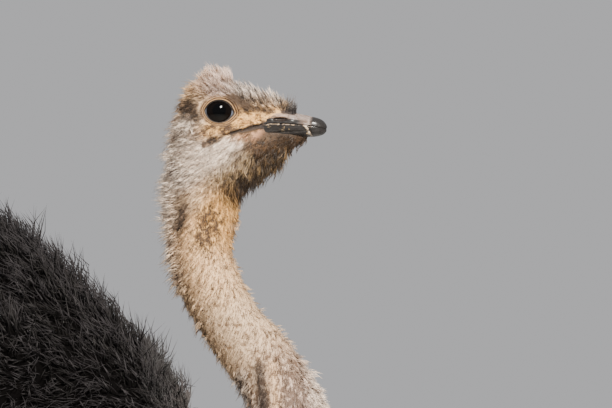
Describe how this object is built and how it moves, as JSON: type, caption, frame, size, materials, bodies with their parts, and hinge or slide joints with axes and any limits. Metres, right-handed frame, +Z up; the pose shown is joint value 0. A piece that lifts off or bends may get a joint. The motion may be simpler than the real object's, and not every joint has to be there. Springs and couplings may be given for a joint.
{
  "type": "ostrich",
  "caption": "Life-size standing ostrich, black and white plumage, its long bare neck drawn back in an S and its head held level.",
  "frame": {"origin": "on the floor, under the middle of the bird's box", "axes": "+X the way the bird faces, +Y its left side, +Z up"},
  "size_m": [1.4792, 0.5962, 1.528],
  "materials": {
    "down": "short stubbly down over bare skin",
    "plumage": "loose black body feathers",
    "plume": "soft off-white plumes",
    "horn": "dull worn horn",
    "eye": "wet, clear and dark",
    "ear": "dark bristles round the ear opening",
    "skin": "bare wrinkled skin",
    "scale": "horny scales",
    "claw": "dull horn"
  },
  "bodies": {
    "root": {"head": "down", "neck_top": "down", "neck_upper": "down", "neck_lower": "down", "neck_base": "down", "trunk": "plumage", "tail": "plume", "bill_upper": "horn", "bill_lower": "horn", "eye_left": "eye", "ear_left": "ear", "wing_left": "plumage", "wing_plumes_left": "plume", "drumstick_left": "skin", "shank_left": "scale", "toe_big_left": "scale", "toe_small_left": "scale", "claw_big_left": "claw", "claw_small_left": "claw", "eye_right": "eye", "ear_right": "ear", "wing_right": "plumage", "wing_plumes_right": "plume", "drumstick_right": "skin", "shank_right": "scale", "toe_big_right": "scale", "toe_small_right": "scale", "claw_big_right": "claw", "claw_small_right": "claw"}
  },
  "joints": []
}
